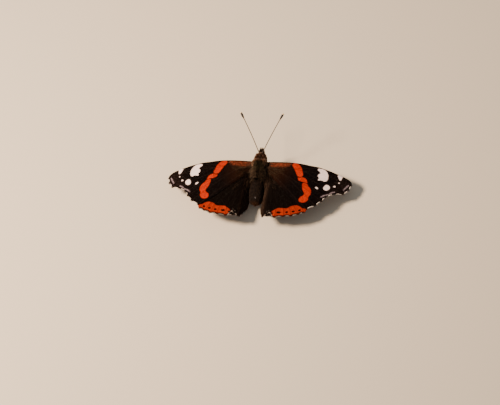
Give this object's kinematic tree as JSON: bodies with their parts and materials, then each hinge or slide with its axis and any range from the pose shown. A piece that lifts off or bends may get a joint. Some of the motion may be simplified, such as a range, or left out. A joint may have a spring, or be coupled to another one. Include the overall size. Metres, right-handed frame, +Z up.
{
  "type": "red admiral butterfly",
  "caption": "Red admiral butterfly at rest on the ground with its wings spread flat, a still life-size model that stands on its own feet.",
  "frame": {"origin": "floor level under the middle of the outline seen from above", "axes": "+X out along the animal's right wing, +Y toward its head, +Z up from the floor"},
  "size_m": [0.0684, 0.0376, 0.0192],
  "materials": {
    "forewing_scales": "black-brown scales with an orange band and white spots",
    "hindwing_scales": "dark brown scales with an orange edge and black dots",
    "body_hair": "short olive-brown hair",
    "abdomen_scales": "short dark brown hair and scales",
    "eye_lens": "brown facets, glossy",
    "antenna_scales": "dark brown with fine pale rings and a pale tip",
    "leg_scales": "pale brown scales",
    "proboscis_skin": "dark brown, satin"
  },
  "bodies": {
    "root": {"thorax": "body_hair", "abdomen": "abdomen_scales", "head": "body_hair", "eye_left": "eye_lens", "eye_right": "eye_lens", "antenna_left": "antenna_scales", "antenna_right": "antenna_scales", "palp_left": "body_hair", "palp_right": "body_hair", "proboscis": "proboscis_skin", "forewing_left": "forewing_scales", "forewing_right": "forewing_scales", "hindwing_left": "hindwing_scales", "hindwing_right": "hindwing_scales", "foreleg_left": "body_hair", "foreleg_right": "body_hair", "midleg_left": "leg_scales", "midleg_right": "leg_scales", "hindleg_left": "leg_scales", "hindleg_right": "leg_scales"}
  },
  "joints": []
}
